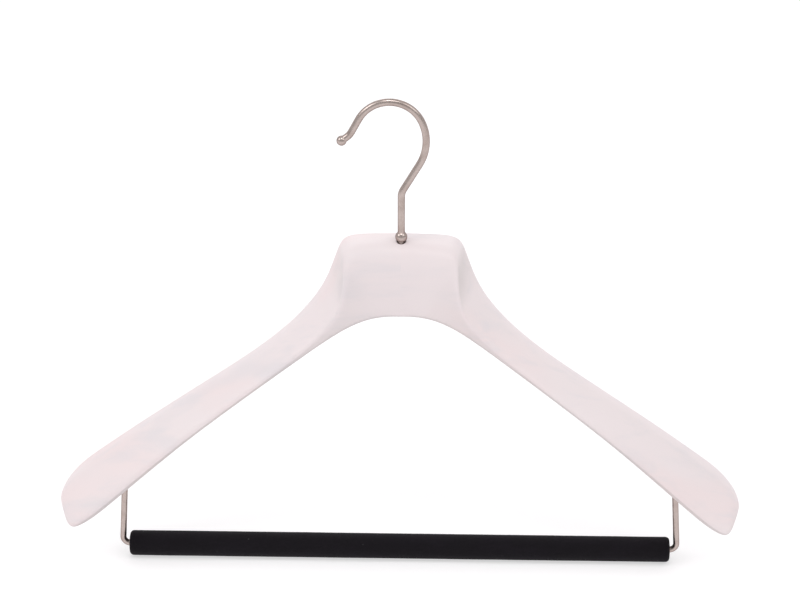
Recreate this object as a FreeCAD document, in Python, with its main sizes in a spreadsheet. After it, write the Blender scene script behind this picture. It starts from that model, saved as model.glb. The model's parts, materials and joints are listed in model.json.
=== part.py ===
"""Contoured wooden suit hanger with a swivel hook and a hanging trouser bar.

Millimetres, +Z up. The front of the hanger faces -Y, and its width runs along X.
The origin is the rail seat: the highest point inside the hook's loop, where the hanger
bears on a rail. The wood is two arms glued and dowelled together at the neck. The hook
turns in a barrel pressed into the neck. The trouser bar turns on two bent wires that
hang from the undersides of the arms.
"""
import FreeCAD, Part
import math
import os

import Sketcher

V = FreeCAD.Vector

# Driving dimensions: alias, value in millimetres or degrees.
DIMENSIONS = [
    # swivel hook
    ("wire_radius", 2.3),
    ("stem_rise", 31.8),
    ("stem_bend_radius", 9.0),
    ("lean_angle", 30.5),
    ("lean_length", 20.0),
    ("side_radius", 30.7),
    ("side_turn", 57.0),
    ("top_radius", 22.3),
    ("top_turn", 125.0),
    ("drop_length", 9.7),
    ("lip_radius", 10.0),
    ("lip_turn", 25.0),
    ("lip_length", 3.2),
    ("tip_ball_radius", 3.2),
    ("tip_ball_grip", 2.2),
    ("collar_radius", 3.85),
    ("collar_gap", 1.65),
    # hook bearing in the neck
    ("swivel_clearance", 0.05),
    ("barrel_radius", 3.1),
    ("barrel_length", 20.0),
    ("barrel_drop", 0.8),
    ("flange_radius", 4.4),
    ("flange_thickness", 2.0),
    ("washer_thickness", 0.6),
    ("end_play", 0.05),
    ("clip_thickness", 0.8),
    ("clip_radius", 3.0),
    ("clip_mouth", 2.7),
    ("groove_depth", 0.5),
    ("tail_length", 1.2),
    ("neck_bore_depth", 26.0),
    # neck joint
    ("dowel_radius", 3.0),
    ("dowel_length", 36.0),
    ("dowel_chamfer", 0.6),
    ("dowel_hole_spare", 0.5),
    ("upper_dowel_back", 8.5),
    ("upper_dowel_drop", 14.0),
    ("lower_dowel_back", 1.0),
    ("lower_dowel_drop", 36.5),
    # trouser bar and its wires
    ("bar_wire_radius", 2.0),
    ("bar_wire_reach", 179.3),
    ("bar_wire_bend", 4.5),
    ("bar_wire_splay", 4.0),
    ("bar_wire_leg", 59.0),
    ("bar_forward", 38.0),
    ("bar_drop", 203.0),
    ("stub_length", 22.0),
    ("bar_half_length", 179.2),
    ("sleeve_radius", 8.4),
    ("sleeve_thickness", 2.0),
    ("tube_wall", 1.2),
    ("plug_flange", 2.0),
    ("plug_length", 16.0),
    ("plug_chamfer", 0.3),
    ("plug_countersink", 0.8),
    ("edge_round", 1.7),
    # how far a cutter runs past the surface it cuts
    ("cutter_spare", 3.0),
]

doc = FreeCAD.newDocument("suit_hanger")
sheet = doc.addObject("Spreadsheet::Sheet", "Sizes")
for row, (alias, value) in enumerate(DIMENSIONS, start=1):
    sheet.set(f"A{row}", alias)
    sheet.set(f"B{row}", str(value))
    sheet.setAlias(f"B{row}", alias)
doc.recompute()


def size(alias):
    """One driving dimension as a plain number."""
    return float(getattr(sheet, alias))


def bind(thing, **expressions):
    """Tie properties of an object to expressions in the sheet's aliases."""
    for name, expression in expressions.items():
        thing.setExpression(name.replace("__", "."), expression)


# ---------------------------------------------------------------- paths of bent wire


def follow(moves, heading):
    """Trace straight runs and arcs in a plane: edges, end point and end heading.

    A move is ("run", length) or ("arc", radius, turn), with turns in degrees and
    positive to the left. The path starts at the origin.
    """
    point = V(0, 0, 0)
    edges = []
    for kind, amount, *rest in moves:
        ahead = V(math.cos(heading), math.sin(heading), 0)
        if kind == "run":
            end = point + ahead * amount
            edges.append(Part.LineSegment(point, end))
        else:
            turn = math.radians(rest[0])
            left = math.copysign(1, turn)
            centre = point + V(-ahead.y, ahead.x, 0) * (amount * left)
            first = heading - left * math.pi / 2
            last = first + turn
            end = centre + V(math.cos(last), math.sin(last), 0) * amount
            circle = Part.Circle(centre, V(0, 0, 1), amount)
            edges.append(Part.ArcOfCircle(circle, min(first, last), max(first, last)))
            heading += turn
        point = end
    return edges, point, heading


def path_sketch(body, moves, heading, lengths):
    """A sketch of a bent wire's centreline in the body's XZ plane.

    lengths names the sheet alias that drives each move's length or radius.
    """
    sketch = add_sketch(body, "XZ_Plane", "Centreline")
    edges, _, _ = follow(moves, heading)
    for edge in edges:
        sketch.addGeometry(edge, False)
    ends = []
    for kind, *rest in moves:
        backwards = kind == "arc" and rest[1] < 0
        ends.append((2, 1) if backwards else (1, 2))
    sketch.addConstraint(Sketcher.Constraint("Coincident", 0, ends[0][0], -1, 1))
    for i in range(len(moves) - 1):
        joint = Sketcher.Constraint("Tangent", i, ends[i][1], i + 1, ends[i + 1][0])
        sketch.addConstraint(joint)
    sketch.addConstraint(Sketcher.Constraint("Vertical", 0))
    for i, ((kind, amount, *rest), alias) in enumerate(zip(moves, lengths)):
        if kind == "run":
            rule = sketch.addConstraint(Sketcher.Constraint("Distance", i, amount))
        else:
            rule = sketch.addConstraint(Sketcher.Constraint("Radius", i, amount))
            span = Sketcher.Constraint("Angle", i, math.radians(abs(rest[0])))
            sketch.addConstraint(span)
        sketch.setExpression(f"Constraints[{rule}]", f"Sizes.{alias}")
    return sketch


# ------------------------------------------------------------------ PartDesign helpers

# Size of the polygon an outline starts from, and how close two radii are to be the same.
START_RADIUS = 10.0
SAME_RADIUS = 0.01


def new_body(name):
    body = doc.addObject("PartDesign::Body", name)
    body.Label = name
    return body


def add_sketch(body, role, name):
    """An empty sketch on one of the body's own origin planes."""
    sketch = body.newObject("Sketcher::SketchObject", f"{body.Name}_{name}")
    plane = next(f for f in body.Origin.OriginFeatures if f.Role == role)
    sketch.AttachmentSupport = [(plane, "")]
    sketch.MapMode = "FlatFace"
    return sketch


def outline(body, role, name, corners):
    """A closed outline of straight sides, each corner placed by two expressions.

    The sides start as a regular polygon, and the constraints then move its corners.
    """
    sketch = add_sketch(body, role, name)
    count = len(corners)
    ring = []
    for i in range(count):
        angle = 2 * math.pi * i / count
        ring.append(V(START_RADIUS * math.cos(angle), START_RADIUS * math.sin(angle), 0))
    for i in range(count):
        sketch.addGeometry(Part.LineSegment(ring[i], ring[(i + 1) % count]), False)
    for i in range(count):
        sketch.addConstraint(Sketcher.Constraint("Coincident", i, 2, (i + 1) % count, 1))
    for i, (across, up) in enumerate(corners):
        for kind, expression in (("DistanceX", across), ("DistanceY", up)):
            rule = sketch.addConstraint(Sketcher.Constraint(kind, -1, 1, i, 1, 1.0))
            sketch.setExpression(f"Constraints[{rule}]", expression)
    return sketch


def circle_sketch(body, role, name, radius):
    """A circle about the body's origin with its radius bound to an expression."""
    sketch = add_sketch(body, role, name)
    sketch.addGeometry(Part.Circle(V(0, 0, 0), V(0, 0, 1), 1.0), False)
    sketch.addConstraint(Sketcher.Constraint("Coincident", 0, 3, -1, 1))
    rule = sketch.addConstraint(Sketcher.Constraint("Radius", 0, 1.0))
    sketch.setExpression(f"Constraints[{rule}]", radius)
    return sketch


def turned_body(name, corners):
    """A piece turned about its own Z axis from an outline of radius and height."""
    body = new_body(name)
    profile = outline(body, "XZ_Plane", "Profile", corners)
    turn = body.newObject("PartDesign::Revolution", f"{name}_Turned")
    turn.Profile = profile
    turn.ReferenceAxis = (profile, ["V_Axis"])
    turn.Angle = 360
    return body


def round_edges(body, base, radius, wanted):
    """Fillet the circular edges of a feature whose radius wanted(radius) picks."""
    doc.recompute()
    names = []
    for i, edge in enumerate(base.Shape.Edges, start=1):
        if hasattr(edge.Curve, "Radius") and wanted(edge.Curve.Radius):
            names.append(f"Edge{i}")
    fillet = body.newObject("PartDesign::Fillet", f"{body.Name}_Rounded")
    fillet.Base = (base, names)
    bind(fillet, Radius=radius)
    return fillet


# ---------------------------------------------------------------------------- hook

# Height of the wire's lower end below the neck's top.
TAIL_DROP = (size("tail_length") + size("clip_thickness") + size("end_play")
             + size("washer_thickness") + size("barrel_length"))
HOOK_MOVES = [
    ("run", TAIL_DROP + size("stem_rise")),
    ("arc", size("stem_bend_radius"), -size("lean_angle")),
    ("run", size("lean_length")),
    ("arc", size("side_radius"), size("side_turn")),
    ("arc", size("top_radius"), size("top_turn")),
    ("run", size("drop_length")),
    ("arc", size("lip_radius"), -size("lip_turn")),
    ("run", size("lip_length")),
]
HOOK_LENGTHS = ["tail_length + Sizes.clip_thickness + Sizes.end_play"
                " + Sizes.washer_thickness + Sizes.barrel_length + Sizes.stem_rise",
                "stem_bend_radius", "lean_length", "side_radius", "top_radius",
                "drop_length", "lip_radius", "lip_length"]
UP = math.pi / 2


def rail_seat():
    """The highest point inside the loop, from the stem's foot at the neck's top."""
    _, top_start, heading = follow(HOOK_MOVES[:4], UP)
    inward = V(-math.sin(heading), math.cos(heading), 0)
    loop_centre = top_start + inward * size("top_radius")
    inner_radius = size("top_radius") - size("wire_radius")
    return V(loop_centre.x, 0, loop_centre.y - TAIL_DROP + inner_radius)


# Every piece below is placed from the top of the neck, on the hook's axis.
NECK_TOP = rail_seat() * -1


def place(thing, offset=V(0, 0, 0), rotation=FreeCAD.Rotation()):
    thing.Placement = FreeCAD.Placement(NECK_TOP + offset, rotation)
    return thing


def make_hook_wire():
    """The bent wire, with a groove at its foot for the retaining clip."""
    body = new_body("hook_wire")
    spine = path_sketch(body, HOOK_MOVES, UP, HOOK_LENGTHS)
    section = circle_sketch(body, "XY_Plane", "Section", "Sizes.wire_radius")
    doc.recompute()
    pipe = body.newObject("PartDesign::AdditivePipe", "hook_wire_Bent")
    pipe.Profile = section
    pipe.Spine = (spine, [f"Edge{i + 1}" for i in range(len(HOOK_MOVES))])
    doc.recompute()
    whole = pipe.Shape.Volume
    ring = outline(body, "XZ_Plane", "Groove", [
        ("Sizes.wire_radius - Sizes.groove_depth", "Sizes.tail_length"),
        ("Sizes.wire_radius + Sizes.cutter_spare", "Sizes.tail_length"),
        ("Sizes.wire_radius + Sizes.cutter_spare", "Sizes.tail_length + Sizes.clip_thickness"),
        ("Sizes.wire_radius - Sizes.groove_depth", "Sizes.tail_length + Sizes.clip_thickness"),
    ])
    groove = body.newObject("PartDesign::Groove", "hook_wire_ClipGroove")
    groove.Profile = ring
    groove.ReferenceAxis = (ring, ["V_Axis"])
    groove.Angle = 360
    doc.recompute()
    assert groove.Shape.Volume < whole, "the clip groove cuts nothing"
    return place(body, V(0, 0, -TAIL_DROP))


def make_tip_ball():
    """The ball on the hook's tip, bored to take the end of the wire."""
    ball = doc.addObject("Part::Sphere", "tip_ball_blank")
    bind(ball, Radius="Sizes.tip_ball_radius")
    bore = doc.addObject("Part::Cylinder", "tip_ball_bore")
    bind(bore, Radius="Sizes.wire_radius", Height="Sizes.tip_ball_radius + Sizes.cutter_spare",
         Placement__Base__z="Sizes.tip_ball_radius - Sizes.tip_ball_grip")
    cut = doc.addObject("Part::Cut", "hook_tip_ball")
    cut.Base = ball
    cut.Tool = bore
    _, end, heading = follow(HOOK_MOVES, UP)
    reach = size("tip_ball_radius") - size("tip_ball_grip")
    ahead = V(math.cos(heading), 0, math.sin(heading))
    centre = V(end.x, 0, end.y - TAIL_DROP) + ahead * reach
    return place(cut, centre, FreeCAD.Rotation(V(0, 0, 1), ahead * -1))


def make_collar():
    """The ball collar pressed on the stem, clear of the barrel and the wood."""
    ball = doc.addObject("Part::Sphere", "collar_blank")
    bind(ball, Radius="Sizes.collar_radius")
    bore = doc.addObject("Part::Cylinder", "collar_bore")
    bind(bore, Radius="Sizes.wire_radius", Height="2 * Sizes.collar_radius",
         Placement__Base__z="-Sizes.collar_radius")
    cut = doc.addObject("Part::Cut", "hook_collar")
    cut.Base = ball
    cut.Tool = bore
    foot = math.sqrt(size("collar_radius") ** 2 - size("wire_radius") ** 2)
    return place(cut, V(0, 0, size("collar_gap") - size("barrel_drop") + foot))


def make_barrel():
    """The barrel in the neck that the stem turns in, with a flange at its foot.

    The flange is trapped in a pocket when the two arms are glued, so the hook can't
    pull the barrel out.
    """
    bore = "Sizes.wire_radius + Sizes.swivel_clearance"
    return place(turned_body("swivel_barrel", [
        (bore, "-Sizes.barrel_length"),
        ("Sizes.flange_radius", "-Sizes.barrel_length"),
        ("Sizes.flange_radius", "Sizes.flange_thickness - Sizes.barrel_length"),
        ("Sizes.barrel_radius", "Sizes.flange_thickness - Sizes.barrel_length"),
        ("Sizes.barrel_radius", "-Sizes.barrel_drop"),
        (bore, "-Sizes.barrel_drop"),
    ]))


def make_thrust_washer():
    """The nylon washer between the barrel's foot and the clip."""
    bore = "Sizes.wire_radius + Sizes.swivel_clearance"
    return place(turned_body("thrust_washer", [
        (bore, "-Sizes.barrel_length - Sizes.washer_thickness"),
        ("Sizes.clip_radius", "-Sizes.barrel_length - Sizes.washer_thickness"),
        ("Sizes.clip_radius", "-Sizes.barrel_length"),
        (bore, "-Sizes.barrel_length"),
    ]))


def make_clip():
    """The open retaining clip pushed into the wire's groove."""
    ring = doc.addObject("Part::Cylinder", "clip_disc")
    bind(ring, Radius="Sizes.clip_radius", Height="Sizes.clip_thickness")
    bore = doc.addObject("Part::Cylinder", "clip_bore")
    bind(bore, Radius="Sizes.wire_radius - Sizes.groove_depth", Height="Sizes.clip_thickness")
    mouth = doc.addObject("Part::Box", "clip_mouth")
    bind(mouth, Length="Sizes.clip_mouth", Width="2 * Sizes.clip_radius",
         Height="Sizes.clip_thickness", Placement__Base__x="-Sizes.clip_mouth / 2")
    opening = doc.addObject("Part::Fuse", "clip_opening")
    opening.Base = bore
    opening.Tool = mouth
    cut = doc.addObject("Part::Cut", "hook_clip")
    cut.Base = ring
    cut.Tool = opening
    return place(cut, V(0, 0, size("tail_length") - TAIL_DROP))


# ---------------------------------------------------------------------------- wood

# Slices through the right arm, from the glued joint at the neck to the tip. Each slice
# stands on a plane along Y. foot is the lower front edge, crest the upper back edge
# (x and z from the neck's top). foot_y, ridge_y and back_y are how far the front edge,
# the ridge and the back stand from the hook's axis. share is how far up the slice the
# ridge lies, ridge and crest how wide the two are rounded, crown how far the upper
# surface swells, and plane how far the ridge is planed off, from 0 to 1.
#    foot            crest           foot_y ridge_y back_y share ridge crest crown plane
SLICES = [
    ((0, -47.1), (0, 1.6), -13, -12.8, 15, 0.94, 15, 6, 1, 0.55),
    ((6.1, -47), (18.2, 1.2), -13, -13.2, 15, 0.94, 15, 6, 1, 0.55),
    ((11.2, -47.2), (30.1, 0.8), -13.5, -14.4, 15, 0.94, 14, 6, 1, 0.5),
    ((14.4, -47.6), (38.3, -1.4), -13.8, -15.6, 14.7, 0.92, 11, 6, 1, 0.4),
    ((17.5, -48), (41.9, -9.2), -14.2, -17, 14.3, 0.8, 5, 5, 0.8, 0.1),
    ((21.8, -48.8), (45.5, -19.4), -15, -17.8, 14, 0.66, 3, 5, 0.8, 0),
    ((27.5, -50.6), (49.9, -30.5), -16, -18.8, 13.4, 0.54, 2.6, 5, 1.2, 0),
    ((35.1, -53.8), (56.2, -41.2), -17.5, -20, 12.5, 0.45, 2.4, 5, 2, 0),
    ((45, -59.5), (63.3, -50.1), -19.5, -21.6, 11, 0.34, 2.2, 5, 3, 0),
    ((56.7, -66.9), (72.1, -58.7), -22.5, -24, 9, 0.24, 1.8, 6, 3.5, 0),
    ((70.3, -76.1), (82.2, -67.1), -25.6, -26.9, 6, 0.16, 1.4, 6, 4, 0),
    ((88, -88), (97.9, -78.1), -30.1, -31.4, 1, 0.1, 1, 6, 4.5, 0),
    ((109.9, -102.8), (119.1, -90.4), -36.4, -37.7, -5, 0.06, 1, 7, 5, 0),
    ((134.9, -120), (145.4, -105.7), -43.8, -45.1, -11, 0.05, 1, 7, 5.5, 0),
    ((159.8, -139.2), (171.5, -121.4), -51.3, -52.6, -16, 0.05, 1, 8, 6, 0),
    ((184.6, -158.9), (197.6, -138.7), -58.8, -60.1, -20, 0.05, 1, 9, 6.5, 0),
    ((199.8, -171.1), (213.5, -149.8), -63.3, -64.6, -22, 0.05, 1.2, 10, 6.5, 0),
]
TIP_FOOT = V(213.3, 0, -176.5)
TIP_CREST = V(224.8, 0, -163.4)
TIP_FRONT = -72
TIP_TUCK = 1.2
TIP_BACK = -31
# TIP_TUCK is how far the tip's lower front edge is tucked back under its ridge. The last
# rings shrink towards the middle of the tip and round it off.
TIP_RINGS = [0.95, 0.5, 0.06]

# Rounding of the lower front edge, and how far its corner stands out and down to make
# up for it. Rounding of the lower back edge, and how far up the slice that edge lies.
LIP_SOFT = 2.4
LIP_OUT = 0.45
LIP_DOWN = 0.25
HEEL_SOFT = 5.0
HEEL_SHARE = 0.12
HEEL_MOST = 2.4
# Most of a side's length that the rounding at one of its ends may take, and how much
# of the ridge's rounding lies behind it.
SIDE_SHARE = 0.38
RIDGE_REACH = 0.65
# Where along the upper surface the swell is fullest, and what is left of it at its ends.
CROWN_FRONT = 0.5
CROWN_BACK = 0.7
CROWN_ENDS = 0.55


def slice_points(foot, crest, foot_y, ridge_y, back_y, share, ridge_soft, crest_soft, crown,
                 plane):
    """Control points round one slice, as (y, height up the slice's own plane)."""
    tall = (crest - foot).Length
    ridge = V(ridge_y, share * tall, 0)
    lip = V(foot_y - LIP_OUT, -LIP_DOWN, 0)
    face = ridge - lip
    face_up = face * (1 / face.Length)
    ridge_low = ridge - face_up * min(ridge_soft, face.Length * SIDE_SHARE)
    lip_high = lip + face_up * min(LIP_SOFT, face.Length * SIDE_SHARE)
    top = V(back_y, tall, 0)
    across = top - ridge
    across_unit = across * (1 / across.Length)
    swell = V(-across_unit.y, across_unit.x, 0) * crown
    ridge_back = min(ridge_soft * RIDGE_REACH, across.Length * SIDE_SHARE)
    ridge_high = ridge + across_unit * ridge_back + swell * CROWN_ENDS
    ridge_peak = ridge * (1 - plane) + (ridge_low + ridge_high) * (plane / 2)
    crown_front = ridge + across * CROWN_FRONT + swell
    crown_back = ridge + across * CROWN_BACK + swell
    soft = min(crest_soft, tall * SIDE_SHARE)
    heel = V(back_y, min(HEEL_SHARE * tall, HEEL_MOST), 0)
    heel_soft = min(HEEL_SOFT, tall * SIDE_SHARE)
    return [
        lip + V(LIP_SOFT * 2, 0, 0),
        lip,
        lip_high,
        (lip_high + ridge_low) * 0.5,
        ridge_low,
        ridge_peak,
        ridge_high,
        crown_front,
        crown_back,
        top - across_unit * soft + swell * CROWN_ENDS,
        top,
        top - V(0, soft, 0),
        heel + V(0, heel_soft, 0),
        heel,
        heel - V(heel_soft, 0, 0),
        (lip + heel) * 0.5,
    ]


def stand_up(points, foot, crest, shrink=1.0):
    """Put a slice's control points on its plane, drawn in towards its middle."""
    up = crest - foot
    up.normalize()
    middle = V(0, 0, 0)
    for point in points:
        middle += point * (1 / len(points))
    ring = []
    for point in points:
        near = middle + (point - middle) * shrink
        ring.append(foot + up * near.y + V(0, near.x, 0))
    return ring


def arm_rings():
    """All rings of control points of the right arm, from the neck to the tip."""
    rings = []
    for foot, crest, *shape in SLICES:
        low = V(foot[0], 0, foot[1])
        high = V(crest[0], 0, crest[1])
        rings.append(stand_up(slice_points(low, high, *shape), low, high))
    # A second ring level with the joint makes the two arms meet without a crease.
    level = [V(SLICES[1][0][0] * 0.5, p.y, p.z) for p in rings[0]]
    rings.insert(1, level)
    shape = SLICES[-1][5:]
    tip = slice_points(TIP_FOOT, TIP_CREST, TIP_FRONT + TIP_TUCK, TIP_FRONT, TIP_BACK, *shape)
    for shrink in TIP_RINGS:
        rings.append(stand_up(tip, TIP_FOOT, TIP_CREST, shrink))
    return rings


def arm_solid():
    """The right arm as one smooth closed skin with flat ends."""
    rings = arm_rings()
    degree = 3
    spans = len(rings) - degree
    along = list(range(spans + 1))
    along_counts = [degree + 1] + [1] * (spans - 1) + [degree + 1]
    around = list(range(len(rings[0]) + 1))
    around_counts = [1] * len(around)
    skin = Part.BSplineSurface()
    skin.buildFromPolesMultsKnots(rings, along_counts, around_counts, along, around,
                                  False, True, degree, degree)
    side = skin.toShape()
    ends = []
    for edge in side.Edges:
        if edge.isClosed() and not edge.isSeam(side):
            ends.append(Part.Face(Part.Wire([edge])))
    shell = Part.makeShell([side] + ends)
    shell.sewShape()
    solid = Part.makeSolid(Part.Shell(shell.Faces))
    if solid.Volume < 0:
        solid.reverse()
    return solid


def cylinder(name, radius, length, offset, rotation=FreeCAD.Rotation()):
    """A round cutter, placed from the top of the neck."""
    cutter = doc.addObject("Part::Cylinder", name)
    bind(cutter, Radius=radius, Height=length)
    return place(cutter, offset, rotation)


def dowel_place(which):
    return V(0, size(f"{which}_dowel_back"), -size(f"{which}_dowel_drop"))


def bar_place():
    """The middle of the trouser bar."""
    return V(0, -size("bar_forward"), -size("bar_drop"))


def leg_lean(way):
    """How a bar wire's leg leans outwards on its way down, as a turn about Y."""
    return FreeCAD.Rotation(V(0, 1, 0), -way * size("bar_wire_splay"))


def leg_top(way):
    """The upper end of a bar wire's leg, traced back from where its stub straightens."""
    lean = math.radians(size("bar_wire_splay"))
    bend = size("bar_wire_bend")
    leg = size("bar_wire_leg")
    out = size("bar_wire_reach") + bend * math.cos(lean) - leg * math.sin(lean)
    rise = bend * (1 + math.sin(lean)) + leg * math.cos(lean)
    return bar_place() + V(way * out, 0, rise)


def make_arms():
    """Both arms, bored for the barrel, the dowels and the bar's wires."""
    right = doc.addObject("Part::Feature", "right_arm_blank")
    right.Shape = arm_solid()
    right.Placement = FreeCAD.Placement(NECK_TOP, FreeCAD.Rotation())
    left = doc.addObject("Part::Mirroring", "left_arm_blank")
    left.Source = right
    left.Base = NECK_TOP
    left.Normal = V(1, 0, 0)
    along_x = FreeCAD.Rotation(V(0, 0, 1), V(1, 0, 0))
    pocket = "Sizes.neck_bore_depth - Sizes.barrel_length + Sizes.flange_thickness"
    drills = [
        cylinder("barrel_hole", "Sizes.barrel_radius",
                 "Sizes.neck_bore_depth + Sizes.cutter_spare", V(0, 0, -size("neck_bore_depth"))),
        cylinder("barrel_pocket", "Sizes.flange_radius", pocket,
                 V(0, 0, -size("neck_bore_depth"))),
    ]
    for which in ("upper", "lower"):
        half = size("dowel_length") / 2 + size("dowel_hole_spare")
        drills.append(cylinder(f"{which}_dowel_hole", "Sizes.dowel_radius",
                               "Sizes.dowel_length + 2 * Sizes.dowel_hole_spare",
                               dowel_place(which) - V(half, 0, 0), along_x))
    arms = []
    for name, blank, way in (("left_arm", left, -1), ("right_arm", right, 1)):
        socket = cylinder(f"{name}_wire_hole", "Sizes.bar_wire_radius", "Sizes.bar_wire_leg",
                          leg_top(way), leg_lean(way) * FreeCAD.Rotation(V(1, 0, 0), 180))
        tools = doc.addObject("Part::MultiFuse", f"{name}_drills")
        tools.Shapes = drills + [socket]
        arm = doc.addObject("Part::Cut", name)
        arm.Base = blank
        arm.Tool = tools
        arms.append(arm)
    return arms


def make_dowel(which):
    """One glued hardwood dowel across the joint, with chamfered ends."""
    half = "Sizes.dowel_length / 2"
    slim = "Sizes.dowel_radius - Sizes.dowel_chamfer"
    dowel = turned_body(f"{which}_dowel", [
        ("0", f"-{half}"),
        (slim, f"-{half}"),
        ("Sizes.dowel_radius", f"-{half} + Sizes.dowel_chamfer"),
        ("Sizes.dowel_radius", f"{half} - Sizes.dowel_chamfer"),
        (slim, half),
        ("0", half),
    ])
    return place(dowel, dowel_place(which), FreeCAD.Rotation(V(0, 0, 1), V(1, 0, 0)))


# ---------------------------------------------------------------------- trouser bar


def make_bar_wire(name, way):
    """One bent wire: a leg up into the arm, and a stub into the end of the bar."""
    body = new_body(name)
    moves = [
        ("run", size("bar_wire_leg")),
        ("arc", size("bar_wire_bend"), -(90 + size("bar_wire_splay")) * way),
        ("run", size("stub_length")),
    ]
    lengths = ["bar_wire_leg", "bar_wire_bend", "stub_length"]
    spine = path_sketch(body, moves, -UP, lengths)
    section = circle_sketch(body, "XY_Plane", "Section", "Sizes.bar_wire_radius")
    doc.recompute()
    pipe = body.newObject("PartDesign::AdditivePipe", f"{name}_Bent")
    pipe.Profile = section
    pipe.Spine = (spine, [f"Edge{i + 1}" for i in range(len(moves))])
    return place(body, leg_top(way), leg_lean(way))


def round_tube(name, radius, wall, shorten):
    """A tube along X, centred on the bar's axis, made as a turned annulus."""
    half = f"Sizes.bar_half_length - {shorten}"
    body = turned_body(name, [
        (f"{radius} - {wall}", f"-({half})"),
        (radius, f"-({half})"),
        (radius, half),
        (f"{radius} - {wall}", half),
    ])
    return place(body, bar_place(), FreeCAD.Rotation(V(0, 0, 1), V(1, 0, 0)))


def make_bar_tube():
    return round_tube("bar_tube", "(Sizes.sleeve_radius - Sizes.sleeve_thickness)",
                      "Sizes.tube_wall", "Sizes.plug_flange")


def make_velvet_sleeve():
    """The flocked sleeve over the tube, with rounded ends."""
    body = round_tube("velvet_sleeve", "Sizes.sleeve_radius", "Sizes.sleeve_thickness", "0")
    outer = size("sleeve_radius")
    round_edges(body, body.Tip, "Sizes.edge_round", lambda radius: abs(radius - outer) < SAME_RADIUS)
    return body


def make_end_plug(name, way):
    """A nylon plug in the tube's end, bored for the wire's stub."""
    inner = "Sizes.sleeve_radius - Sizes.sleeve_thickness - Sizes.tube_wall"
    flange = "Sizes.sleeve_radius - Sizes.sleeve_thickness"
    bore = "Sizes.bar_wire_radius + Sizes.swivel_clearance"
    body = turned_body(name, [
        (bore, "-Sizes.plug_length"),
        (inner, "-Sizes.plug_length"),
        (inner, "-Sizes.plug_flange"),
        (flange, "-Sizes.plug_flange"),
        (flange, "-Sizes.plug_chamfer"),
        (f"{flange} - Sizes.plug_chamfer", "0"),
        (f"{bore} + Sizes.plug_countersink", "0"),
        (bore, "-Sizes.plug_countersink"),
    ])
    end = bar_place() + V(way * size("bar_half_length"), 0, 0)
    return place(body, end, FreeCAD.Rotation(V(0, 0, 1), V(way, 0, 0)))


# ---------------------------------------------------------------------------- build


def make_all():
    pieces = make_arms()
    pieces += [make_dowel("upper"), make_dowel("lower")]
    pieces += [make_hook_wire(), make_tip_ball(), make_collar(), make_barrel()]
    pieces += [make_thrust_washer(), make_clip()]
    pieces += [make_bar_wire("left_bar_wire", -1), make_bar_wire("right_bar_wire", 1)]
    pieces += [make_bar_tube(), make_velvet_sleeve()]
    pieces += [make_end_plug("left_end_plug", -1), make_end_plug("right_end_plug", 1)]
    return pieces


def check(pieces):
    """Stop on any failed feature and on any piece without one valid shape."""
    for thing in doc.Objects:
        if {"Invalid", "Error"} & set(thing.State):
            raise RuntimeError(f"{thing.Name} failed: {thing.State}")
    for piece in pieces:
        if piece.Shape.isNull() or not piece.Shape.isValid():
            raise RuntimeError(f"{piece.Label} has no valid shape")


parts = make_all()
doc.recompute()
check(parts)
os.makedirs("parts", exist_ok=True)
for piece in parts:
    piece.Shape.exportStep(f"parts/{piece.Label}.step")
    box = piece.Shape.BoundBox
    print(f"{piece.Label}: {len(piece.Shape.Solids)} solid, {piece.Shape.Volume:.0f} mm3, "
          f"x {box.XMin:.1f} to {box.XMax:.1f}, y {box.YMin:.1f} to {box.YMax:.1f}, "
          f"z {box.ZMin:.1f} to {box.ZMax:.1f}")
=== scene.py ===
"""Looks, light and camera for the contoured suit hanger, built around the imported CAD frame."""

import json
import math

import bmesh
import bpy
from mathutils import Matrix, Vector, noise


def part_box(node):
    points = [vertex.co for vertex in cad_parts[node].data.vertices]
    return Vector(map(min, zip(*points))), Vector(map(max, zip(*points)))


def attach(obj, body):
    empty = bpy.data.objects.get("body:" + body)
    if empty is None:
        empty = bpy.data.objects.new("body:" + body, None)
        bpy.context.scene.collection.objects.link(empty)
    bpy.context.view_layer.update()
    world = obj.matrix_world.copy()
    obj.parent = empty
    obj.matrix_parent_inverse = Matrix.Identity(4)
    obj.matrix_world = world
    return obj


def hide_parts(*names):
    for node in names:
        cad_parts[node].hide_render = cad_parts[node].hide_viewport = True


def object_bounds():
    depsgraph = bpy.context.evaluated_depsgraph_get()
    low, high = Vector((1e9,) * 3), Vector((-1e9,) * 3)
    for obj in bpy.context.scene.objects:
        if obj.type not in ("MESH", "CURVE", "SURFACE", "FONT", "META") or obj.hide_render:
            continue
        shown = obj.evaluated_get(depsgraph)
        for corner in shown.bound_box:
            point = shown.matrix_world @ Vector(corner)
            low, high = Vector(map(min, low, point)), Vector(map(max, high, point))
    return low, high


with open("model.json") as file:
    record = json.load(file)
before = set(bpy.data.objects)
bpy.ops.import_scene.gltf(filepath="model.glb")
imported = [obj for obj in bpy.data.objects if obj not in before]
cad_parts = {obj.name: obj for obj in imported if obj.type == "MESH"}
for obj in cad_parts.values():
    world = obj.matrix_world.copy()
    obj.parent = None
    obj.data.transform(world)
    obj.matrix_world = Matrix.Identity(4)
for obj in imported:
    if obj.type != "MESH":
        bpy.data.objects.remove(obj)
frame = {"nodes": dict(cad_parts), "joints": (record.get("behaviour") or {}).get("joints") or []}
cad_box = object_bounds()
nodes = frame["nodes"]
joints = {joint["name"]: joint for joint in frame["joints"]}

MM = 0.001
stem_foot = Vector(joints["hook_swivel"]["pos_m"])
bar_axis = Vector(joints["bar_roll"]["pos_m"])


# ------------------------------------------------------------------------ node helpers


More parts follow.
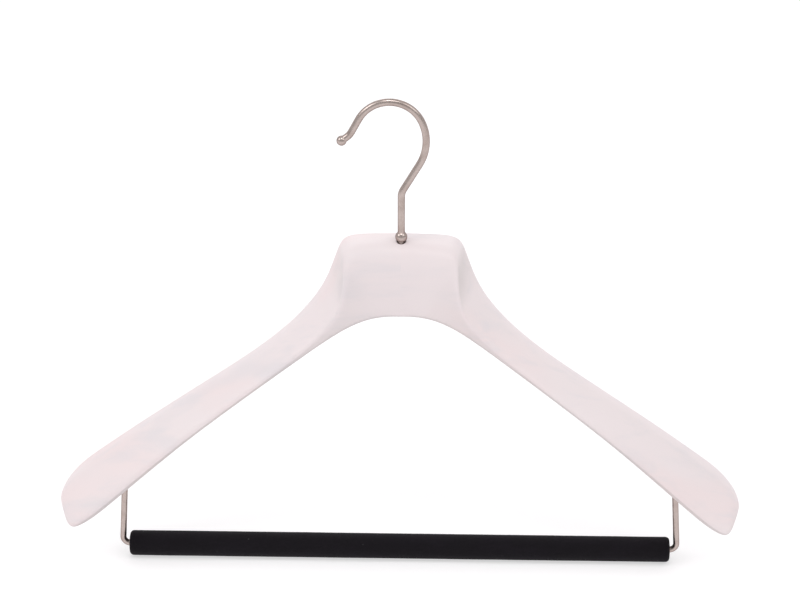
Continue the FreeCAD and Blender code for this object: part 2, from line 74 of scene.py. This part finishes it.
class Shader:
    """A material's node tree with short calls for the few kinds of node used here."""

    def __init__(self, name):
        self.material = bpy.data.materials.new(name)
        self.material.use_nodes = True
        self.tree = self.material.node_tree
        self.surface = self.tree.nodes["Principled BSDF"]
        place = self.add("ShaderNodeTexCoord")
        self.place = place.outputs["Object"]

    def add(self, kind, **values):
        node = self.tree.nodes.new(kind)
        for name, value in values.items():
            setattr(node, name, value)
        return node

    def link(self, source, target):
        self.tree.links.new(source, target)

    def set(self, **values):
        """Plain numbers and colours go straight on the shader's own sockets."""
        for name, value in values.items():
            self.surface.inputs[name.replace("_", " ")].default_value = value

    def mapped(self, turn=(0, 0, 0), scale=(1, 1, 1), offset=(0, 0, 0)):
        """The object's own coordinates, turned and stretched."""
        node = self.add("ShaderNodeMapping")
        node.inputs["Location"].default_value = offset
        node.inputs["Rotation"].default_value = turn
        node.inputs["Scale"].default_value = scale
        self.link(self.place, node.inputs["Vector"])
        return node.outputs["Vector"]

    def noise(self, place, scale, detail=2.0, roughness=0.5, distortion=0.0):
        node = self.add("ShaderNodeTexNoise")
        node.inputs["Scale"].default_value = scale
        node.inputs["Detail"].default_value = detail
        node.inputs["Roughness"].default_value = roughness
        node.inputs["Distortion"].default_value = distortion
        self.link(place, node.inputs["Vector"])
        return node.outputs["Fac"]

    def cells(self, place, scale):
        """Distance to the nearest of scattered points: small at each point."""
        node = self.add("ShaderNodeTexVoronoi")
        node.inputs["Scale"].default_value = scale
        self.link(place, node.inputs["Vector"])
        return node.outputs["Distance"]

    def fit(self, value, low, high, to_low, to_high):
        """Ease a value from the range low..high to the range to_low..to_high."""
        node = self.add("ShaderNodeMapRange", interpolation_type="SMOOTHSTEP")
        self.link(value, node.inputs["Value"])
        for name, number in (("From Min", low), ("From Max", high),
                             ("To Min", to_low), ("To Max", to_high)):
            node.inputs[name].default_value = number
        return node.outputs["Result"]

    def mix(self, share, first, second):
        """Blend two colours, each a plain colour or another node's output."""
        node = self.add("ShaderNodeMix", data_type="RGBA")
        for value, socket in ((share, node.inputs[0]), (first, node.inputs[6]),
                              (second, node.inputs[7])):
            if isinstance(value, tuple):
                socket.default_value = (*value, 1.0)
            else:
                self.link(value, socket)
        return node.outputs[2]

    def dot(self, vector, direction):
        """How far a vector points along a fixed direction."""
        node = self.add("ShaderNodeVectorMath", operation="DOT_PRODUCT")
        self.link(vector, node.inputs[0])
        node.inputs[1].default_value = direction
        return node.outputs["Value"]

    def bump(self, height, depth, strength=1.0, under=None):
        """A bump of the given depth, laid over another bump if there is one."""
        node = self.add("ShaderNodeBump")
        node.inputs["Strength"].default_value = strength
        node.inputs["Distance"].default_value = depth
        self.link(height, node.inputs["Height"])
        if under is not None:
            self.link(under, node.inputs["Normal"])
        return node.outputs["Normal"]


def dress(node_name, material):
    """Give a CAD node its material."""
    thing = nodes[node_name]
    thing.data.materials.clear()
    thing.data.materials.append(material)


# --------------------------------------------------------------------------- materials

WOOD = (0.84, 0.755, 0.765)
WOOD_PINK = (0.86, 0.735, 0.74)
WOOD_GREY = (0.75, 0.705, 0.73)
WOOD_PORE = (0.70, 0.62, 0.62)
# The last colour is painted shade, mixed in under the arms and on the tips' outward ends.
PAINTED_SHADE_COLOUR = (0.46, 0.42, 0.405)
# How far an arm slopes down from level, and how far the underside that gets painted shade leans from
# facing down.
ARM_SLOPE = math.radians(37)
UNDER_SHADE_LEAN = math.radians(48)
# How much painted shade darkens the underside.
UNDER_SHADE_SHARE = 0.45
# How much painted shade darkens each tip's outward end, more on the right tip.
LEFT_TIP_SHADE = 0.35
RIGHT_TIP_SHADE = 0.6


def whitewashed_wood(name, way, tip_shade):
    """Thin white wash over pale hardwood, with the grain along the arm.

    way is -1 for the left arm and 1 for the right. The third argument is how strongly painted shade
    darkens the wood where it faces outward at the tip.
    """
    s = Shader(name)
    drawn = s.mapped(turn=(0, -way * ARM_SLOPE, 0), scale=(0.3, 1, 1), offset=(way, 0.1, 0.2))
    clouds = s.noise(drawn, 18, detail=3, roughness=0.45)
    blooms = s.noise(drawn, 34, detail=2, roughness=0.4, distortion=0.5)
    along = s.mapped(turn=(0, -way * ARM_SLOPE, 0), scale=(0.09, 1, 1), offset=(way, 0, 0))
    streaks = s.noise(along, 90, detail=4, roughness=0.55, distortion=0.3)
    fibres = s.noise(along, 900, detail=3, roughness=0.6)
    pores = s.cells(along, 420)
    colour = s.mix(s.fit(clouds, 0.45, 0.65, 0, 0.8), WOOD, WOOD_PINK)
    colour = s.mix(s.fit(blooms, 0.55, 0.75, 0, 0.55), colour, WOOD_GREY)
    colour = s.mix(s.fit(streaks, 0.48, 0.72, 0, 0.45), colour, WOOD_GREY)
    colour = s.mix(s.fit(pores, 0.04, 0.16, 0.16, 0), colour, WOOD_PORE)
    # Painted shade: the wood is darkened underneath, where it faces down and inward, and on the tip's
    # outward end.
    facing = s.add("ShaderNodeNewGeometry").outputs["Normal"]
    under = (-way * math.sin(UNDER_SHADE_LEAN), 0, -math.cos(UNDER_SHADE_LEAN))
    colour = s.mix(s.fit(s.dot(facing, under), 0.02, 0.4, 0, UNDER_SHADE_SHARE), colour, PAINTED_SHADE_COLOUR)
    # Painted shade on the tip's outward end, by the third argument's share.
    outward = (way * math.cos(ARM_SLOPE), 0, -math.sin(ARM_SLOPE))
    colour = s.mix(s.fit(s.dot(facing, outward), 0.3, 0.9, 0, tip_shade), colour, PAINTED_SHADE_COLOUR)
    s.link(colour, s.surface.inputs["Base Color"])
    s.link(s.fit(streaks, 0.3, 0.7, 0.44, 0.56), s.surface.inputs["Roughness"])
    grain = s.bump(fibres, 0.03 * MM, 0.5)
    grain = s.bump(s.fit(pores, 0.04, 0.16, 0, 1), 0.03 * MM, 0.35, under=grain)
    s.link(grain, s.surface.inputs["Normal"])
    s.set(Coat_Weight=0.12, Coat_Roughness=0.35, Specular_IOR_Level=0.4)
    return s.material


def bare_wood():
    """Turned hardwood dowel with its grain along X."""
    s = Shader("dowel_wood_looks")
    along = s.mapped(scale=(0.05, 1, 1))
    bands = s.noise(along, 260, detail=4, roughness=0.6, distortion=0.5)
    fibres = s.noise(along, 1500, detail=3)
    s.link(s.mix(s.fit(bands, 0.35, 0.7, 0, 1), (0.58, 0.41, 0.24), (0.38, 0.24, 0.12)),
           s.surface.inputs["Base Color"])
    s.link(s.fit(fibres, 0.3, 0.7, 0.55, 0.72), s.surface.inputs["Roughness"])
    s.link(s.bump(fibres, 0.05 * MM), s.surface.inputs["Normal"])
    return s.material


# How dark and brown the plate turns where it is seen edge on.
PLATE_EDGE = (0.16, 0.11, 0.10, 1.0)


def plated(name, bright, worn, rough_low, rough_high):
    """Satin metal: soft blotches in the plate, fine scuffs and a faint orange-peel."""
    s = Shader(name)
    blotches = s.noise(s.mapped(), 140, detail=3)
    scuffs = s.noise(s.mapped(scale=(1, 1, 0.12)), 2600, detail=3, roughness=0.65)
    peel = s.noise(s.mapped(), 1500, detail=1)
    s.link(s.mix(s.fit(blotches, 0.4, 0.7, 0, 1), bright, worn), s.surface.inputs["Base Color"])
    s.link(s.fit(scuffs, 0.3, 0.7, rough_low, rough_high), s.surface.inputs["Roughness"])
    s.link(s.bump(scuffs, 0.006 * MM, 0.6, under=s.bump(peel, 0.01 * MM, 0.5)),
           s.surface.inputs["Normal"])
    s.set(Metallic=1.0, Specular_Tint=PLATE_EDGE)
    return s.material


def velvet():
    """Black flocking: short pile with a soft sheen, brushed patches and a little lint."""
    s = Shader("black_velvet_looks")
    pile = s.noise(s.mapped(), 2600, detail=2, roughness=0.7)
    brushed = s.noise(s.mapped(scale=(0.5, 1, 1)), 60, detail=3, roughness=0.6)
    lint = s.cells(s.mapped(offset=(0.02, 0.01, 0.03)), 75)
    colour = s.mix(s.fit(brushed, 0.4, 0.7, 0, 1), (0.0075, 0.006, 0.0085), (0.012, 0.010, 0.0135))
    colour = s.mix(s.fit(pile, 0.35, 0.7, 0, 0.6), colour, (0.004, 0.003, 0.004))
    colour = s.mix(s.fit(lint, 0.02, 0.05, 0.3, 0), colour, (0.10, 0.10, 0.10))
    s.link(colour, s.surface.inputs["Base Color"])
    s.link(s.fit(brushed, 0.3, 0.7, 0.82, 0.98), s.surface.inputs["Roughness"])
    s.link(s.bump(pile, 0.25 * MM, 0.8), s.surface.inputs["Normal"])
    s.set(Sheen_Weight=0.10, Sheen_Roughness=0.45, Sheen_Tint=(0.5, 0.48, 0.52, 1.0),
          Specular_IOR_Level=0.15)
    return s.material


def plastic(name, dark, light, rough_low, rough_high):
    """Moulded nylon with a fine spark-eroded skin."""
    s = Shader(name)
    flow = s.noise(s.mapped(), 180, detail=3)
    skin = s.noise(s.mapped(), 3200, detail=2)
    s.link(s.mix(s.fit(flow, 0.35, 0.7, 0, 1), dark, light), s.surface.inputs["Base Color"])
    s.link(s.fit(skin, 0.3, 0.7, rough_low, rough_high), s.surface.inputs["Roughness"])
    s.link(s.bump(skin, 0.03 * MM, 0.6), s.surface.inputs["Normal"])
    return s.material


def dress_all():
    """Every CAD node that stays in view gets its own procedural material."""
    nickel = plated("satin_nickel_looks", (0.51, 0.43, 0.40), (0.44, 0.36, 0.33), 0.22, 0.32)
    barrel = plated("nickel_barrel_looks", (0.52, 0.44, 0.40), (0.42, 0.35, 0.31), 0.24, 0.36)
    spring = plated("spring_steel_looks", (0.16, 0.155, 0.15), (0.10, 0.095, 0.09), 0.30, 0.45)
    tube = plated("tube_steel_looks", (0.42, 0.42, 0.43), (0.32, 0.31, 0.30), 0.35, 0.55)
    black = plastic("black_nylon_looks", (0.010, 0.010, 0.011), (0.018, 0.018, 0.019), 0.40, 0.55)
    white = plastic("white_nylon_looks", (0.72, 0.71, 0.66), (0.62, 0.61, 0.56), 0.45, 0.60)
    dowel = bare_wood()
    dress("left_arm", whitewashed_wood("left_wood_looks", -1, LEFT_TIP_SHADE))
    dress("right_arm", whitewashed_wood("right_wood_looks", 1, RIGHT_TIP_SHADE))
    for node_name, material in (
            ("upper_dowel", dowel), ("lower_dowel", dowel),
            ("hook_wire", nickel), ("hook_tip_ball", nickel), ("hook_collar", nickel),
            ("swivel_barrel", barrel), ("thrust_washer", white), ("hook_clip", spring),
            ("left_bar_wire", nickel), ("right_bar_wire", nickel), ("bar_tube", tube),
            ("left_end_plug", black), ("right_end_plug", black)):
        dress(node_name, material)


# ----------------------------------------------------------------------- velvet sleeve

# The pile sinks by up to PILE_DEPTH. PILE_SIZE is a tuft's size, FINE_PILE the size of the
# finer tufts as a share of it, and BRUSH_SIZE the size of a brushed patch.
PILE_DEPTH = 0.16 * MM
PILE_SIZE = 0.9 * MM
FINE_PILE = 0.4
BRUSH_SIZE = 9 * MM
# The pile's middle depth, and how much tufts and brushed patches add, as shares of PILE_DEPTH.
PILE_MIDDLE = 0.5
TUFT_SHARE = 0.35
BRUSH_SHARE = 0.4
SLEEVE_WALL = 2.0 * MM
SLEEVE_ROUND = 2.6 * MM
# The share of the wall next to the bore that has no pile.
BARE_RIM = 0.1
# Points round the sleeve, points in each rounded end, and the step along its length.
SLEEVE_AROUND = 120
ROUND_STEPS = 8
SLEEVE_STEP = 0.55 * MM


def sleeve_profile(half, radius):
    """The sleeve's section as (along, out) points, from one end of the bore to the other."""
    line = []
    for i in range(ROUND_STEPS + 1):
        angle = math.pi / 2 * i / ROUND_STEPS
        line.append((-half + SLEEVE_ROUND * (1 - math.cos(angle)),
                     radius - SLEEVE_WALL * (1 - math.sin(angle))))
    straight = 2 * (half - SLEEVE_ROUND)
    count = round(straight / SLEEVE_STEP)
    for i in range(1, count):
        line.append((-half + SLEEVE_ROUND + straight * i / count, radius))
    return line + [(-along, out) for along, out in reversed(line[:ROUND_STEPS + 1])]


def pile_height(point):
    """How deep the pile lies at a point: fine tufts over slow brushed patches."""
    tufts = noise.noise(point / PILE_SIZE) + 0.5 * noise.noise(point / (PILE_SIZE * FINE_PILE))
    brushed = noise.noise(Vector((point.x * 0.5, point.y, point.z)) / BRUSH_SIZE)
    share = PILE_MIDDLE + TUFT_SHARE * tufts + BRUSH_SHARE * brushed
    return PILE_DEPTH * min(1.0, max(0.0, share))


def sleeve_points(profile, radius):
    """The profile turned about the bar's axis, sunk by the pile everywhere but the bore."""
    bore = radius - SLEEVE_WALL
    points = []
    for along, out in profile:
        for i in range(SLEEVE_AROUND):
            angle = 2 * math.pi * i / SLEEVE_AROUND
            way = Vector((0, math.cos(angle), math.sin(angle)))
            point = bar_axis + Vector((along, 0, 0)) + way * out
            if out > bore + SLEEVE_WALL * BARE_RIM:
                point -= way * pile_height(point)
            points.append(point)
    return points


def ring_faces(rows, around):
    """Four-sided faces between rings of points, the last ring closing on the first."""
    faces = []
    for row in range(rows):
        after = (row + 1) % rows
        for i in range(around):
            j = (i + 1) % around
            faces.append((row * around + i, row * around + j, after * around + j, after * around + i))
    return faces


def velvet_sleeve():
    """The flocked sleeve, with the pile's own uneven surface and soft round ends."""
    low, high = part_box("velvet_sleeve")
    radius = (high.z - low.z) / 2
    profile = sleeve_profile((high.x - low.x) / 2, radius)
    data = bpy.data.meshes.new("velvet_sleeve_pile")
    data.from_pydata(sleeve_points(profile, radius), [], ring_faces(len(profile), SLEEVE_AROUND))
    for face in data.polygons:
        face.use_smooth = True
    data.materials.append(velvet())
    thing = bpy.data.objects.new("velvet_sleeve_pile", data)
    bpy.context.scene.collection.objects.link(thing)
    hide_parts("velvet_sleeve")
    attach(thing, "trouser_bar")


# ------------------------------------------------------------------ floor, light, camera

# How strongly the white room and the floor glow.
GLOW = 0.56
# The floor's flat part runs from FLOOR_NEAR to FLOOR_BEND, then curves up to FLOOR_FAR.
FLOOR_HALF_WIDTH = 16.0
FLOOR_NEAR = -16.0
FLOOR_BEND = 3.0
FLOOR_FAR = 5.0
FLOOR_RISE = 8.0
FLOOR_STEPS = 16


def floor_material():
    """Pale matt paper that glows a little, so that it stays white at the edges."""
    s = Shader("floor_looks")
    s.set(Base_Color=(0.50, 0.49, 0.50, 1.0), Roughness=0.7, Emission_Color=(1, 1, 1, 1),
          Emission_Strength=GLOW)
    return s.material


def floor():
    """A pale sweep: level under the bar, curving up far behind."""
    level = cad_box[0].z
    radius = FLOOR_FAR - FLOOR_BEND
    line = [Vector((0, FLOOR_NEAR, level)), Vector((0, FLOOR_BEND, level))]
    for i in range(1, FLOOR_STEPS + 1):
        angle = math.pi / 2 * i / FLOOR_STEPS
        line.append(Vector((0, FLOOR_BEND + radius * math.sin(angle),
                            level + radius * (1 - math.cos(angle)))))
    line.append(Vector((0, FLOOR_FAR, level + FLOOR_RISE)))
    mesh = bmesh.new()
    rows = [[mesh.verts.new(point + Vector((side * FLOOR_HALF_WIDTH, 0, 0))) for side in (-1, 1)]
            for point in line]
    for low, high in zip(rows, rows[1:]):
        mesh.faces.new((low[0], low[1], high[1], high[0])).smooth = True
    data = bpy.data.meshes.new("floor")
    mesh.to_mesh(data)
    mesh.free()
    data.materials.append(floor_material())
    thing = bpy.data.objects.new("floor", data)
    bpy.context.scene.collection.objects.link(thing)


# Each soft light: its name, its place from the hanger's middle, its size, and its watts.
LIGHTS = [
    ("left_light", (-1.6, -0.6, 1.5), (1.2, 1.2), 10.7),
    ("right_light", (1.4, -0.6, 1.6), (1.2, 1.2), 7.4),
    ("top_light", (0, -0.6, 2.1), (1.0, 0.6), 8.8),
    ("back_light", (0, 1.7, 1.0), (1.4, 0.3), 3.5),
]


def softbox(name, place, aim, size, power):
    """A rectangular soft light at place that faces aim."""
    light = bpy.data.lights.new(name, "AREA")
    light.shape = "RECTANGLE"
    light.size, light.size_y = size
    light.energy = power
    thing = bpy.data.objects.new(name, light)
    thing.location = place
    thing.rotation_mode = "QUATERNION"
    thing.rotation_quaternion = (aim - place).to_track_quat("-Z", "Y")
    bpy.context.scene.collection.objects.link(thing)


def lights():
    """Soft light from both sides, above and behind, in an even white room."""
    middle = (cad_box[0] + cad_box[1]) / 2
    for name, offset, size, power in LIGHTS:
        softbox(name, middle + Vector(offset), middle, size, power)
    world = bpy.data.worlds.new("studio")
    world.use_nodes = True
    room = world.node_tree.nodes["Background"]
    room.inputs["Color"].default_value = (1, 1, 1, 1)
    room.inputs["Strength"].default_value = GLOW
    bpy.context.scene.world = world
    bpy.context.scene.view_settings.view_transform = "Standard"


# The camera stands CAMERA_YAW round from the front, and looks down by CAMERA_TILT at a
# point AIM_DROP under the stem's foot and AIM_LEFT to its left.
CAMERA_YAW = math.radians(1.18)
CAMERA_TILT = math.radians(24)
CAMERA_ROLL = math.radians(0.156)
CAMERA_DISTANCE = 1.5
AIM_DROP = 0.0407
AIM_LEFT = 0.00023
CAMERA_LENS = 103.5
CAMERA_SENSOR = 36
CAMERA_SHIFT = -0.0009


def camera():
    """The camera, placed from the stem's foot."""
    level = Vector((-math.sin(CAMERA_YAW), math.cos(CAMERA_YAW), 0))
    right = Vector((math.cos(CAMERA_YAW), math.sin(CAMERA_YAW), 0))
    over = Vector((0, 0, 1))
    ahead = level * math.cos(CAMERA_TILT) - over * math.sin(CAMERA_TILT)
    up = level * math.sin(CAMERA_TILT) + over * math.cos(CAMERA_TILT)
    rolled_right = right * math.cos(CAMERA_ROLL) + up * math.sin(CAMERA_ROLL)
    rolled_up = up * math.cos(CAMERA_ROLL) - right * math.sin(CAMERA_ROLL)
    data = bpy.data.cameras.new("camera")
    data.lens = CAMERA_LENS
    data.sensor_width = CAMERA_SENSOR
    data.shift_x = CAMERA_SHIFT
    thing = bpy.data.objects.new("camera", data)
    turn = Matrix((rolled_right, rolled_up, -ahead)).transposed().to_4x4()
    aim = stem_foot - over * AIM_DROP - right * AIM_LEFT
    thing.matrix_world = Matrix.Translation(aim - ahead * CAMERA_DISTANCE) @ turn
    bpy.context.scene.collection.objects.link(thing)
    bpy.context.scene.camera = thing


dress_all()
velvet_sleeve()
floor()
lights()
camera()
